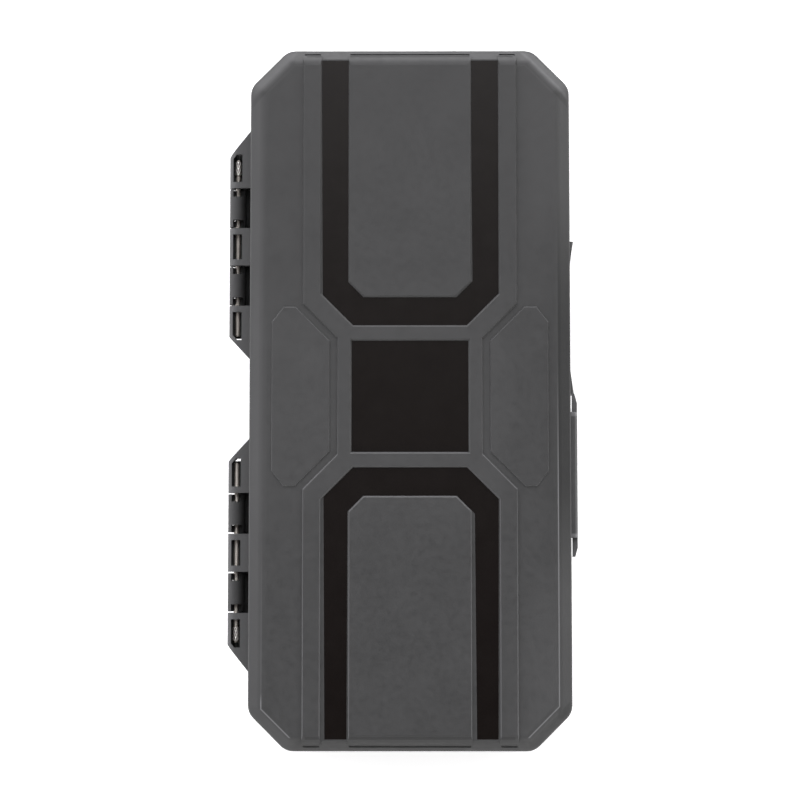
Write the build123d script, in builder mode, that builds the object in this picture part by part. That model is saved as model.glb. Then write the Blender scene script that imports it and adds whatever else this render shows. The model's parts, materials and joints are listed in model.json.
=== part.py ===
from build123d import *
import math
import os

# A slim two-part case for ready-tied hooklengths, closed and lying on its base.
# X runs across the case, hinges at -X and latch at +X; Y runs along it; Z is up.
# The origin is the centre of the flat underside. All sizes are millimetres.

# Case, outside
case_length = 212.0
case_width = 97.0
base_height = 14.0
lid_height = 13.4
corner_cut = 11.4
corner_round = 5.6
least_round = 0.5
least_step = 0.01
bevel_width = 4.1
bevel_height = 2.8
bevel_top_round = 4.5
bevel_foot_round = 1.2

# Case, walls and the tongue round the rim
wall = 2.2
floor_thickness = 2.0
inner_bevel_width = 2.5
inner_bevel_height = 1.75
tongue_thickness = 1.0
tongue_height = 1.5
tongue_clearance = 0.2

# Lid relief: raised field with a narrow waist, two open channels and a square badge
relief_height = 0.6
relief_slope = 36.0
relief_root = 1.8
relief_round = 0.25
relief_skin = 0.01
field_half_width = 32.4
waist_half_width = 22.0
waist_half_length = 17.4
tab_margin = 2.0
end_groove_margin = 1.3
end_groove_width = 0.9
end_groove_depth = 0.3
channel_outer_half = 26.7
channel_inner_half = 18.6
channel_end = 21.4
channel_band = 8.5
channel_corner = 9.6
channel_end_margin = 3.4
plateau_corner = 4.6
badge_width = 35.2
badge_length = 33.6

# Lid relief: two wing pads beside the waist
wing_height = 0.4
wing_inner = 24.0
wing_width = 17.7
wing_half_length = 27.1
wing_inner_corner = 10.4
wing_outer_corner_x = 3.6
wing_outer_corner_y = 4.6

# Windowed hinges
hinge_middle = 46.9
knuckle_length = 11.55
knuckle_gap = 0.45
knuckle_radius = 2.55
pin_offset = 4.5
hinge_inner_end = 19.2
hinge_outer_end = 74.7
hinge_inner_taper = 7.6
hinge_outer_taper = 8.8
arm_clearance = 0.15
arm_root = 0.8
window_width = 2.8
window_wall = 1.15
window_margin = 1.9
window_start = 18.1
window_end = 75.6
end_slot_length = 2.2
end_slot_wall = 0.7
slot_overlap = 0.1
drain_clearance = 0.3
shelf_clearance = 0.45
shelf_past_pin = 1.0
shelf_lip = 1.2
shelf_end_gap = 3.0

# Hinge pins
pin_radius = 0.75
pin_clearance = 0.05
pin_end_clearance = 0.2
pin_chamfer = 0.2
knurl_radius = 1.05
knurl_length = 5.0
knurl_inset = 0.7
knurl_depth = 0.16
knurl_flutes = 12
knurl_clearance = 0.05

# Latch clip and its pin
latch_middle = -23.4
hook_length = 38.1
latch_pivot_out = 1.5
latch_pivot_height = 5.2
latch_barrel_radius = 1.7
latch_plate = 1.5
latch_lean = 1.1
hook_top_height = 22.4
hook_lip_height = 3.2
hook_engagement = 0.6
hook_corner = 0.7
hook_round = 0.35
hook_clearance = 0.15
catch_depth = 0.9
catch_headroom = 0.35
catch_side_clearance = 0.35
wing_tip_length = 5.7
wing_tip_thickness = 0.9
wing_tip_out = 0.65
wing_tip_low = 9.6
wing_tip_high = 18.4
lug_length = 3.1
lug_gap = 0.35
lug_height = 1.6
latch_recess = 0.5
latch_recess_low = 3.0
latch_pin_radius = 0.75
latch_pin_bite = 0.02
latch_pin_clearance = 0.06
plate_over_lug = 1.3

# Finger scoop beside the latch
scoop_pad_out = 1.9
scoop_pad_start = 1.8
scoop_pad_length = 47.1
scoop_pad_low = 4.6
scoop_pad_high = 13.2
scoop_pad_bevel = 0.8
scoop_floor = 0.2

# Peg boards inside both halves
board_thickness = 1.6
board_side_gap = 1.6
board_round = 1.0
boss_height = 1.2
boss_radius = 2.6
groove_depth = 0.6
groove_clearance = 0.1
strip_side_gap = 6.5

# Magnetic strip that holds the hooks
magnet_end_gap = 20.0
magnet_width = 10.0
magnet_thickness = 1.8

# Peg rails that hold the loops, at the two usual hooklengths
short_hooklength = 100.0
long_hooklength = 150.0
rail_width = 6.0
rail_height = 2.6
rail_chamfer = 0.5
peg_count = 8
peg_side_gap = 7.0
peg_radius = 0.75
peg_seat = 1.6
peg_reach = 4.6
peg_head_radius = 1.15
peg_head_height = 0.7
peg_clearance = 0.02

# Board screws
screw_side_gap = 18.5
screw_end_gap = 10.0
screw_radius = 0.9
screw_bite = 2.2
screw_head_radius = 2.0
screw_head_height = 1.1
screw_socket = 0.8
screw_clearance = 0.05
screw_hole_clearance = 0.25

# Places worked out from the sizes above
half_width = case_width / 2
half_length = case_length / 2
split_height = base_height
panel_height = base_height + lid_height
pin_x = -(half_width + pin_offset)
pin_height = split_height
knuckle_pitch = knuckle_length + knuckle_gap
hinge_outer_x = pin_x - knuckle_radius
latch_pivot_x = half_width + latch_pivot_out
hook_lip_bottom = hook_top_height - hook_lip_height
strip_length = case_width - 2 * strip_side_gap
peg_pitch = (strip_length - 2 * peg_side_gap) / (peg_count - 1)
magnet_y = half_length - magnet_end_gap
screw_x = half_width - screw_side_gap
screw_y = half_length - screw_end_gap
board_level = boss_height + board_thickness
split_up = Plane((0, 0, split_height))
split_down = Plane((0, 0, split_height), x_dir=(1, 0, 0), z_dir=(0, 0, -1))
base_floor = Plane((0, 0, floor_thickness))
lid_floor = Plane((0, 0, panel_height - floor_thickness), x_dir=(-1, 0, 0), z_dir=(0, 0, -1))


def case_outline(plane, inset=0.0):
    """The case seen from above: a rectangle with cut corners, drawn in by an inset."""
    cut = corner_cut - inset * (2 - math.sqrt(2))
    with BuildSketch(plane) as outline:
        Rectangle(case_width - 2 * inset, case_length - 2 * inset)
        chamfer(outline.vertices(), cut)
        fillet(outline.vertices(), max(corner_round - inset, least_round))
    return outline.sketch


def case_block(plane, depth, inset, slope_width, slope_height):
    """A block with the case's outline, its far face drawn in by a sloping bevel."""
    straight = depth - slope_height
    with BuildPart() as block:
        extrude(case_outline(plane, inset), amount=straight)
        near = case_outline(plane.offset(straight), inset)
        far = case_outline(plane.offset(depth), inset + slope_width)
        loft([near.face(), far.face()], ruled=True)
    return block.part


def outer_block(plane, height):
    """The outside of one half, its bevel rounded softly at the top and less at the foot."""
    with BuildPart() as block:
        add(case_block(plane, height, 0.0, bevel_width, bevel_height))
        for level, radius in ((height, bevel_top_round), (height - bevel_height, bevel_foot_round)):
            z = plane.origin.Z + plane.z_dir.Z * level
            rim = block.edges().filter_by_position(Axis.Z, z - least_step, z + least_step)
            fillet(rim, radius)
    return block.part


def half_shell(plane, height):
    """One moulded half, open at the rim, as an outer block and the cavity in it."""
    depth = height - floor_thickness
    cavity = case_block(plane, depth, wall, inner_bevel_width, inner_bevel_height)
    return outer_block(plane, height), cavity


def hinge_plan(plane):
    """A hinge group seen from above: a bar whose two ends taper back to the wall."""
    root_x = -(half_width - arm_root)
    reach = root_x - hinge_outer_x
    slope = reach / (reach - arm_root)
    with BuildSketch(plane) as plan:
        with BuildLine():
            Polyline(
                (hinge_outer_x, hinge_inner_end),
                (hinge_outer_x, hinge_outer_end),
                (root_x, hinge_outer_end + hinge_outer_taper * slope),
                (root_x, hinge_inner_end - hinge_inner_taper * slope),
                close=True,
            )
        make_face()
    return plan.sketch


def hinge_bar(arm_low, arm_high, spans):
    """Knuckles in the given spans along Y, each a barrel with a flat arm to the wall."""
    root_x = -(half_width - arm_root)
    with BuildPart() as bar:
        for start, end in spans:
            with BuildSketch(Plane.XZ.offset(-start)):
                with Locations((pin_x, pin_height)):
                    Circle(knuckle_radius)
                with BuildLine():
                    Polyline(
                        (pin_x, arm_low),
                        (root_x, arm_low),
                        (root_x, arm_high),
                        (pin_x, arm_high),
                        close=True,
                    )
                make_face()
            extrude(amount=start - end)
        plan = hinge_plan(Plane.XY.offset(pin_height - 2 * knuckle_radius))
        extrude(plan, amount=4 * knuckle_radius, mode=Mode.INTERSECT)
    return bar.part


def pin_bore(radius, start, end):
    """A round bar along the hinge axis, to be cut out of the knuckles."""
    with BuildPart() as bore:
        with BuildSketch(Plane.XZ.offset(-start)):
            with Locations((pin_x, pin_height)):
                Circle(radius)
        extrude(amount=start - end)
    return bore.part


def lid_hinge():
    """The lid's three knuckles: open windows above a closed lower half round the pin."""
    inner_limit = hinge_inner_end - 2 * hinge_inner_taper
    outer_limit = hinge_outer_end + 2 * hinge_outer_taper
    middle_start = hinge_middle - knuckle_length / 2
    middle_end = hinge_middle + knuckle_length / 2
    inner_end = middle_start - knuckle_pitch - knuckle_gap
    outer_start = middle_end + knuckle_pitch + knuckle_gap
    spans = [(inner_limit, inner_end), (middle_start, middle_end), (outer_start, outer_limit)]
    with BuildPart() as leaf:
        add(hinge_bar(pin_height + arm_clearance, pin_height + knuckle_radius, spans))
        add(pin_bore(pin_radius + pin_clearance, inner_limit, outer_limit), mode=Mode.SUBTRACT)
        knurl_start = hinge_outer_end - knurl_inset - knurl_length - pin_end_clearance
        head_bore = pin_bore(knurl_radius + knurl_clearance, knurl_start, outer_limit)
        add(head_bore, mode=Mode.SUBTRACT)
        with BuildSketch(Plane.XY.offset(pin_height)) as windows:
            add(hinge_plan(Plane.XY))
            offset(amount=-window_wall, kind=Kind.INTERSECTION)
            with Locations((pin_x, (window_start + window_end) / 2)):
                Rectangle(window_width, window_end - window_start, mode=Mode.INTERSECT)
            with GridLocations(0, 2 * knuckle_pitch, 1, 2):
                with Locations((pin_x, hinge_middle)):
                    closed = knuckle_length + 2 * (knuckle_gap + window_margin)
                    Rectangle(2 * window_width, closed, mode=Mode.SUBTRACT)
        extrude(amount=2 * knuckle_radius, mode=Mode.SUBTRACT)
        with BuildSketch(Plane.XY.offset(pin_height)) as drain:
            add(windows.sketch.moved(Location((0, 0, -pin_height))))
            with Locations((pin_x - pin_radius, hinge_inner_end - drain_clearance)):
                Rectangle(
                    window_width,
                    hinge_inner_taper,
                    align=(Align.MIN, Align.MAX),
                    mode=Mode.INTERSECT,
                )
        extrude(amount=2 * knuckle_radius, both=True, mode=Mode.SUBTRACT)
    return leaf.part


def hinge_shelf():
    """The rib on the base under one hinge, a sloping bracket just clear of the knuckles."""
    shelf_top = pin_height - knuckle_radius - shelf_clearance
    shelf_x = pin_x - shelf_past_pin
    root_x = -(half_width - arm_root)
    start = hinge_inner_end + shelf_end_gap
    end = hinge_outer_end - shelf_end_gap
    with BuildPart() as shelf:
        with BuildSketch(Plane.XZ.offset(-start)):
            with BuildLine():
                Polyline(
                    (root_x, shelf_top),
                    (shelf_x, shelf_top),
                    (shelf_x, shelf_top - shelf_lip),
                    (root_x, shelf_top - shelf_lip + shelf_x - root_x),
                    close=True,
                )
            make_face()
        extrude(amount=start - end)
    return shelf.part


def base_hinge():
    """The base's two knuckles: open above at both ends, and open below between them."""
    centres = [hinge_middle - knuckle_pitch, hinge_middle + knuckle_pitch]
    spans = [(centre - knuckle_length / 2, centre + knuckle_length / 2) for centre in centres]
    end_place = (knuckle_length - end_slot_length) / 2
    middle_length = knuckle_length - 2 * (end_slot_length - slot_overlap)
    with BuildPart() as leaf:
        add(hinge_bar(pin_height - knuckle_radius, pin_height - arm_clearance, spans))
        bore = pin_bore(pin_radius + pin_clearance, hinge_inner_end, hinge_outer_end)
        add(bore, mode=Mode.SUBTRACT)
        slot_start = pin_x - window_width / 2
        slot_width = pin_x + knuckle_radius - end_slot_wall - slot_start
        with BuildSketch(Plane.XY.offset(pin_height)):
            for centre in centres:
                for place in (centre - end_place, centre + end_place):
                    with Locations((slot_start, place)):
                        slot_align = (Align.MIN, Align.CENTER)
                        Rectangle(slot_width, end_slot_length, align=slot_align)
        extrude(amount=2 * knuckle_radius, mode=Mode.SUBTRACT)
        with BuildSketch(Plane.XY.offset(pin_height)):
            for centre in centres:
                with Locations((pin_x, centre)):
                    Rectangle(window_width, middle_length)
        extrude(amount=-2 * knuckle_radius, mode=Mode.SUBTRACT)
    return leaf.part


def raised_field():
    """The lid's raised field with its waist, channels, plateaus and badge recess."""
    tab_end = half_length - tab_margin
    with BuildSketch(Plane.XY.offset(panel_height)) as field:
        with BuildLine() as side:
            Polyline(
                (0, -tab_end),
                (field_half_width, -tab_end),
                (field_half_width, -waist_half_length - field_half_width + waist_half_width),
                (waist_half_width, -waist_half_length),
                (waist_half_width, waist_half_length),
                (field_half_width, waist_half_length + field_half_width - waist_half_width),
                (field_half_width, tab_end),
                (0, tab_end),
            )
            mirror(about=Plane.YZ)
        make_face()
        with BuildLine() as channel:
            Polyline(
                (-channel_outer_half, case_length),
                (-channel_outer_half, channel_end + channel_corner),
                (-channel_outer_half + channel_corner, channel_end),
                (channel_outer_half - channel_corner, channel_end),
                (channel_outer_half, channel_end + channel_corner),
                (channel_outer_half, case_length),
                close=True,
            )
        channel_face = make_face(channel.edges(), mode=Mode.PRIVATE)
        plateau_end = channel_end + channel_band
        with BuildLine() as plateau:
            Polyline(
                (-channel_inner_half, tab_end),
                (-channel_inner_half, plateau_end + plateau_corner),
                (-channel_inner_half + plateau_corner, plateau_end),
                (channel_inner_half - plateau_corner, plateau_end),
                (channel_inner_half, plateau_end + plateau_corner),
                (channel_inner_half, tab_end),
                close=True,
            )
        plateau_face = make_face(plateau.edges(), mode=Mode.PRIVATE)
        with PolarLocations(0, 2):
            add(channel_face, mode=Mode.SUBTRACT)
            add(plateau_face)
        Rectangle(badge_width, badge_length, mode=Mode.SUBTRACT)
    # The trimming block stands a hair taller than the field, so its rounded rim trims
    # the ends of the field but its flat top never coincides with the field's own top.
    raised_height = lid_height + relief_height + relief_skin
    with BuildPart() as relief:
        extrude(field.sketch, amount=-relief_root)
        extrude(field.sketch, amount=relief_height, taper=relief_slope)
        top_faces = relief.faces().filter_by(Plane.XY).group_by(Axis.Z)[-1]
        fillet(top_faces.edges(), relief_round)
        # The channels' floors stay flat to their ends, past where the case's rim rounds off.
        with BuildSketch(Plane.XY.offset(panel_height)):
            with PolarLocations(0, 2):
                add(channel_face)
            with PolarLocations(0, 2):
                add(plateau_face, mode=Mode.SUBTRACT)
            flat_length = 2 * (half_length - channel_end_margin)
            Rectangle(case_width, flat_length, mode=Mode.INTERSECT)
        extrude(amount=-relief_root)
        add(outer_block(split_up, raised_height), mode=Mode.INTERSECT)
    return relief.part


def end_grooves():
    """The shallow grooves in the end bevels that finish the raised bands and plateaus."""
    top_inset = relief_height * math.tan(math.radians(relief_slope))
    band_width = field_half_width - channel_outer_half - 2 * top_inset
    band_x = (field_half_width + channel_outer_half) / 2
    plateau_width = 2 * (channel_inner_half - top_inset)
    groove_y = half_length - end_groove_margin - end_groove_width / 2
    lowered = Plane((0, 0, split_height - end_groove_depth))
    with BuildPart() as grooves:
        with BuildSketch(Plane.XY.offset(panel_height - bevel_height)):
            for end in (-1, 1):
                with Locations((-band_x, end * groove_y), (band_x, end * groove_y)):
                    Rectangle(band_width, end_groove_width)
                with Locations((0, end * groove_y)):
                    Rectangle(plateau_width, end_groove_width)
        extrude(amount=bevel_height)
        floors = case_block(lowered, lid_height, 0.0, bevel_width, bevel_height)
        add(floors, mode=Mode.SUBTRACT)
    return grooves.part


def wing_pads():
    """The two shallow pads that fill the notches beside the waist."""
    outer = wing_inner + wing_width
    with BuildPart() as pads:
        with BuildSketch(Plane.XY.offset(panel_height)):
            with BuildLine():
                Polyline(
                    (outer, 0),
                    (outer, wing_half_length - wing_outer_corner_y),
                    (outer - wing_outer_corner_x, wing_half_length),
                    (wing_inner + wing_inner_corner, wing_half_length),
                    (wing_inner, wing_half_length - wing_inner_corner),
                    (wing_inner, 0),
                )
                mirror(about=Plane.XZ)
            make_face()
        extrude(amount=wing_height, taper=relief_slope)
        fillet(pads.faces().sort_by(Axis.Z)[-1].edges(), relief_round)
        mirror(about=Plane.YZ)
    return pads.part


def screw_places():
    """The four screw centres of a peg board."""
    return [(x, y) for x in (-screw_x, screw_x) for y in (-screw_y, screw_y)]


def board_bosses(plane):
    """Short bosses that stand a peg board off the floor and take its screws."""
    with BuildPart() as bosses:
        with BuildSketch(plane):
            with Locations(*screw_places()):
                Circle(boss_radius)
        extrude(amount=boss_height)
    return bosses.part


def boss_bores(plane):
    """Blind holes for the board screws, from the bosses' tops into the floor."""
    with BuildPart() as bores:
        with BuildSketch(plane.offset(boss_height)):
            with Locations(*screw_places()):
                Circle(screw_radius + screw_clearance)
        extrude(amount=-(screw_bite + screw_clearance))
    return bores.part


def latch_profile():
    """The clip seen from its end: a leaning plate with a lip over the lid's catch."""
    foot_x = latch_pivot_x + latch_barrel_radius
    top_x = foot_x - latch_lean
    lip_x = half_width - hook_engagement
    plate_foot = latch_pivot_height + 2 * latch_barrel_radius
    with BuildSketch(Plane.XZ) as profile:
        with BuildLine():
            Polyline(
                (foot_x, latch_pivot_height),
                (top_x, hook_top_height - hook_corner),
                (top_x - hook_corner, hook_top_height),
                (lip_x + hook_corner, hook_top_height),
                (lip_x, hook_top_height - hook_corner),
                (lip_x, hook_lip_bottom),
                (top_x - latch_plate, hook_lip_bottom),
                (foot_x - latch_plate, plate_foot),
                (latch_pivot_x, latch_pivot_height),
                close=True,
            )
        make_face()
    return profile.sketch


def latch_wing(side):
    """One thin wedge tip that carries on from the end of the hook, side +1 or -1."""
    root_y = latch_middle + side * (hook_length / 2 - lug_gap)
    tip_y = latch_middle + side * (hook_length / 2 + wing_tip_length)
    foot_x = latch_pivot_x + latch_barrel_radius
    with BuildPart() as tip:
        extrude(latch_profile(), amount=-case_length / 2, both=True)
        with BuildSketch(Plane.XY.offset(wing_tip_low)):
            with BuildLine():
                Polyline(
                    (half_width, root_y),
                    (foot_x, root_y),
                    (half_width + wing_tip_out + wing_tip_thickness, tip_y),
                    (half_width + wing_tip_out, tip_y),
                    close=True,
                )
            make_face()
        extrude(amount=wing_tip_high - wing_tip_low, mode=Mode.INTERSECT)
    return tip.part


def latch_lugs():
    """The two lugs on the base that carry the latch pin."""
    web_top = latch_pivot_height + latch_barrel_radius + lug_height
    root_x = half_width - wall / 2
    place = (hook_length - lug_length) / 2 - lug_gap
    with BuildPart() as lugs:
        for side in (-1, 1):
            with BuildSketch(Plane.XZ.offset(-(latch_middle + side * place))):
                with Locations((latch_pivot_x, latch_pivot_height)):
                    Circle(latch_barrel_radius)
                with BuildLine():
                    Polyline(
                        (root_x, latch_pivot_height - latch_barrel_radius),
                        (latch_pivot_x, latch_pivot_height - latch_barrel_radius),
                        (latch_pivot_x, latch_pivot_height + latch_barrel_radius),
                        (half_width, web_top),
                        (root_x, web_top),
                        close=True,
                    )
                make_face()
            extrude(amount=lug_length / 2, both=True)
    return lugs.part


def latch_axis_bar(radius, length):
    """A round bar on the latch's axis, centred on the latch."""
    with BuildPart() as bar:
        with BuildSketch(Plane.XZ.offset(-latch_middle)):
            with Locations((latch_pivot_x, latch_pivot_height)):
                Circle(radius)
        extrude(amount=length / 2, both=True)
    return bar.part


def scoop_pad():
    """A low pad beside the latch with a long hollow that leads a finger to its end."""
    middle = scoop_pad_start + scoop_pad_length / 2
    height = scoop_pad_high - scoop_pad_low
    sagitta = scoop_pad_out + scoop_floor
    scoop_radius = ((scoop_pad_length / 2) ** 2 + sagitta**2) / (2 * sagitta)
    root_x = half_width - wall / 2
    with BuildPart() as pad:
        with BuildSketch(Plane.XZ.offset(-middle)):
            with BuildLine():
                Polyline(
                    (root_x, scoop_pad_low - scoop_pad_bevel),
                    (half_width + scoop_pad_out - scoop_pad_bevel, scoop_pad_low),
                    (half_width + scoop_pad_out, scoop_pad_low + scoop_pad_bevel),
                    (half_width + scoop_pad_out, scoop_pad_low + height - scoop_pad_bevel),
                    (half_width + scoop_pad_out - scoop_pad_bevel, scoop_pad_high),
                    (root_x, scoop_pad_high),
                    close=True,
                )
            make_face()
        extrude(amount=scoop_pad_length / 2, both=True)
        with BuildSketch(Plane.XY):
            with Locations((half_width - scoop_floor + scoop_radius, middle)):
                Circle(scoop_radius)
        extrude(amount=panel_height, mode=Mode.SUBTRACT)
    return pad.part


def build_base_shell():
    """The lower half: tray, tongue, base knuckles, latch lugs, scoop pad and bosses."""
    outer, cavity = half_shell(split_down, base_height)
    tongue_inset = wall - tongue_thickness
    upper_hinge = base_hinge()
    upper_shelf = hinge_shelf()
    with BuildPart() as shell:
        add(outer)
        extrude(case_outline(split_up, tongue_inset), amount=tongue_height)
        add(cavity, mode=Mode.SUBTRACT)
        extrude(case_outline(split_up, wall), amount=tongue_height, mode=Mode.SUBTRACT)
        with BuildSketch(Plane.YZ.offset(half_width - latch_recess)):
            with Locations((latch_middle, latch_recess_low)):
                Rectangle(
                    hook_length + 2 * catch_side_clearance,
                    split_height,
                    align=(Align.CENTER, Align.MIN),
                )
        extrude(amount=wall, mode=Mode.SUBTRACT)
        add(upper_hinge)
        add(mirror(upper_hinge, about=Plane.XZ, mode=Mode.PRIVATE))
        add(upper_shelf)
        add(mirror(upper_shelf, about=Plane.XZ, mode=Mode.PRIVATE))
        add(latch_lugs())
        bore = latch_axis_bar(latch_pin_radius + latch_pin_bite, case_width)
        add(bore, mode=Mode.SUBTRACT)
        add(scoop_pad())
        add(board_bosses(base_floor))
        add(boss_bores(base_floor), mode=Mode.SUBTRACT)
    return shell.part


def build_lid_shell():
    """The upper half: tray turned over, relief, lid knuckles, catch and bosses."""
    outer, cavity = half_shell(split_up, lid_height)
    rebate_inset = wall - tongue_thickness - tongue_clearance
    upper_hinge = lid_hinge()
    with BuildPart() as shell:
        add(outer)
        add(raised_field())
        add(wing_pads())
        add(end_grooves(), mode=Mode.SUBTRACT)
        add(cavity, mode=Mode.SUBTRACT)
        rebate = case_outline(split_up, rebate_inset)
        extrude(rebate, amount=tongue_height + tongue_clearance, mode=Mode.SUBTRACT)
        with BuildSketch(Plane.YZ.offset(half_width - catch_depth)):
            with Locations((latch_middle, hook_lip_bottom - hook_clearance)):
                Rectangle(
                    hook_length + 2 * catch_side_clearance,
                    hook_clearance + hook_lip_height + catch_headroom,
                    align=(Align.CENTER, Align.MIN),
                )
        extrude(amount=wall, mode=Mode.SUBTRACT)
        add(upper_hinge)
        add(mirror(upper_hinge, about=Plane.XZ, mode=Mode.PRIVATE))
        add(board_bosses(lid_floor))
        add(boss_bores(lid_floor), mode=Mode.SUBTRACT)
    return shell.part


def build_hinge_pin(side):
    """A plain steel pin with a fluted head at its outer end, for side +1 or -1."""
    head_end = hinge_outer_end - knurl_inset
    plain_end = hinge_inner_end + pin_end_clearance
    with BuildPart() as pin:
        with BuildSketch(Plane.XZ.offset(-plain_end)):
            with Locations((pin_x, pin_height)):
                Circle(pin_radius)
        extrude(amount=plain_end - head_end)
        chamfer(pin.edges().sort_by(Axis.Y)[0], pin_chamfer)
        with BuildSketch(Plane.XZ.offset(-(head_end - knurl_length))) as head:
            with Locations((pin_x, pin_height)):
                Circle(knurl_radius)
                with PolarLocations(knurl_radius, knurl_flutes):
                    RegularPolygon(knurl_depth, 4, rotation=45, mode=Mode.SUBTRACT)
        extrude(amount=-knurl_length)
        if side < 0:
            mirror(about=Plane.XZ, mode=Mode.REPLACE)
    return pin.part


def build_latch_clip():
    """The latch: barrel on the pin, leaning plate, hook lip and two wedge tips."""
    barrel_length = hook_length - 2 * (lug_length + 2 * lug_gap)
    lug_zone = (hook_length - barrel_length) / 2
    plate_low = latch_pivot_height + latch_barrel_radius + plate_over_lug
    with BuildPart() as clip:
        with BuildSketch(Plane.XZ.offset(-latch_middle)):
            add(latch_profile())
        extrude(amount=hook_length / 2, both=True)
        fillet(clip.faces().filter_by(Axis.Y).edges(), hook_round)
        with BuildSketch(Plane.YZ.offset(half_width)):
            for side in (-1, 1):
                with Locations((latch_middle + side * hook_length / 2, 0)):
                    Rectangle(2 * lug_zone, plate_low, align=(Align.CENTER, Align.MIN))
        extrude(amount=2 * wall + latch_barrel_radius, mode=Mode.SUBTRACT)
        add(latch_axis_bar(latch_barrel_radius, barrel_length))
        add(latch_wing(1))
        add(latch_wing(-1))
        bore = latch_axis_bar(latch_pin_radius + latch_pin_clearance, case_width)
        add(bore, mode=Mode.SUBTRACT)
    return clip.part


def build_latch_pin():
    """The steel pin that the latch turns on, held in the base's two lugs."""
    length = hook_length - 2 * lug_gap - 2 * pin_end_clearance
    with BuildPart() as pin:
        add(latch_axis_bar(latch_pin_radius, length))
        ends = pin.edges().filter_by(GeomType.CIRCLE)
        chamfer(ends, pin_chamfer)
    return pin.part


def rail_y(hooklength):
    """How far along the case a peg rail lies, for a hooklength from the magnet."""
    return magnet_y - hooklength


def build_peg_board(plane):
    """A flat insert with a seat for the magnet, two rail seats and screw holes."""
    inset = wall + board_side_gap
    with BuildPart() as board:
        extrude(case_outline(plane.offset(boss_height), inset), amount=board_thickness)
        fillet(board.faces().filter_by(Plane.XY).sort_by(SortBy.AREA)[-1].edges(), groove_depth / 2)
        with BuildSketch(plane.offset(board_level)):
            with Locations((0, magnet_y)):
                Rectangle(strip_length + 2 * groove_clearance, magnet_width + 2 * groove_clearance)
            with Locations((0, rail_y(short_hooklength)), (0, rail_y(long_hooklength))):
                Rectangle(strip_length + 2 * groove_clearance, rail_width + 2 * groove_clearance)
        extrude(amount=-groove_depth, mode=Mode.SUBTRACT)
        with BuildSketch(plane.offset(board_level)):
            with Locations(*screw_places()):
                Circle(screw_radius + screw_hole_clearance)
        extrude(amount=-board_thickness, mode=Mode.SUBTRACT)
    return board.part


def build_magnet_strip(plane):
    """A flat bar of magnet that holds the hooks, seated in the board's wide groove."""
    with BuildPart() as strip:
        with BuildSketch(plane.offset(board_level - groove_depth)):
            with Locations((0, magnet_y)):
                Rectangle(strip_length, magnet_width)
        extrude(amount=magnet_thickness)
        chamfer(strip.edges().group_by(Axis.Z)[-1 if plane.z_dir.Z > 0 else 0], rail_chamfer)
    return strip.part


def peg_places(hooklength):
    """The peg centres along one rail."""
    first = -(peg_count - 1) * peg_pitch / 2
    return [(first + index * peg_pitch, rail_y(hooklength)) for index in range(peg_count)]


def build_peg_rail(plane, hooklength):
    """A moulded rail seated in the board, with a blind hole under each peg."""
    top = board_level - groove_depth + rail_height
    with BuildPart() as rail:
        with BuildSketch(plane.offset(board_level - groove_depth)):
            with Locations((0, rail_y(hooklength))):
                Rectangle(strip_length, rail_width)
        extrude(amount=rail_height)
        chamfer(rail.edges().group_by(Axis.Z)[-1 if plane.z_dir.Z > 0 else 0], rail_chamfer)
        with BuildSketch(plane.offset(top)):
            with Locations(*peg_places(hooklength)):
                Circle(peg_radius + peg_clearance)
        extrude(amount=-(peg_seat + peg_clearance), mode=Mode.SUBTRACT)
    return rail.part


def build_pegs(plane, hooklength):
    """Steel pegs pressed into one rail, each with a small flat head for the loop."""
    top = board_level - groove_depth + rail_height
    with BuildPart() as pegs:
        with BuildSketch(plane.offset(top - peg_seat)):
            with Locations(*peg_places(hooklength)):
                Circle(peg_radius)
        extrude(amount=peg_seat + peg_reach)
        with BuildSketch(plane.offset(top + peg_reach - peg_head_height)):
            with Locations(*peg_places(hooklength)):
                Circle(peg_head_radius)
        extrude(amount=peg_head_height)
    return pegs.part


def build_screws(plane):
    """Four small pan-head screws that hold one peg board down."""
    with BuildPart() as screws:
        with BuildSketch(plane.offset(boss_height - screw_bite)):
            with Locations(*screw_places()):
                Circle(screw_radius)
        extrude(amount=screw_bite + board_thickness)
        with BuildSketch(plane.offset(board_level)):
            with Locations(*screw_places()):
                Circle(screw_head_radius)
        extrude(amount=screw_head_height)
        with BuildSketch(plane.offset(board_level + screw_head_height)):
            with Locations(*screw_places()):
                RegularPolygon(screw_socket, 6)
        extrude(amount=-screw_head_height / 2, mode=Mode.SUBTRACT)
    return screws.part


def build_parts():
    """Every separate piece of the box, by the name of its node."""
    pieces = {
        "base_shell": build_base_shell(),
        "lid_shell": build_lid_shell(),
        "upper_hinge_pin": build_hinge_pin(1),
        "lower_hinge_pin": build_hinge_pin(-1),
        "latch_clip": build_latch_clip(),
        "latch_pin": build_latch_pin(),
    }
    for half, plane in (("base", base_floor), ("lid", lid_floor)):
        pieces[f"{half}_peg_board"] = build_peg_board(plane)
        pieces[f"{half}_magnet_strip"] = build_magnet_strip(plane)
        pieces[f"{half}_board_screws"] = build_screws(plane)
        for row, hooklength in (("short", short_hooklength), ("long", long_hooklength)):
            pieces[f"{half}_{row}_peg_rail"] = build_peg_rail(plane, hooklength)
            pieces[f"{half}_{row}_pegs"] = build_pegs(plane, hooklength)
    return pieces


os.makedirs("parts", exist_ok=True)
for label, piece in build_parts().items():
    piece.label = label
    export_step(piece, f"parts/{label}.step")
    print(label, round(piece.volume, 1))
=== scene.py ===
# %% [markdown]
# # A slim hinged case for ready-tied hooklengths
#
# The case is two trays moulded in dark grey plastic, joined by two windowed hinges and a snap clip.
# The CAD model holds every solid and every joint. This file gives those solids their finish, and
# makes the pieces whose looks need more than a plain solid: the knurled hinge pins, the turned pegs
# and screws, and the printed figures inside.

import json
import math

import bpy
import numpy as np
from mathutils import Matrix, Vector


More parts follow.
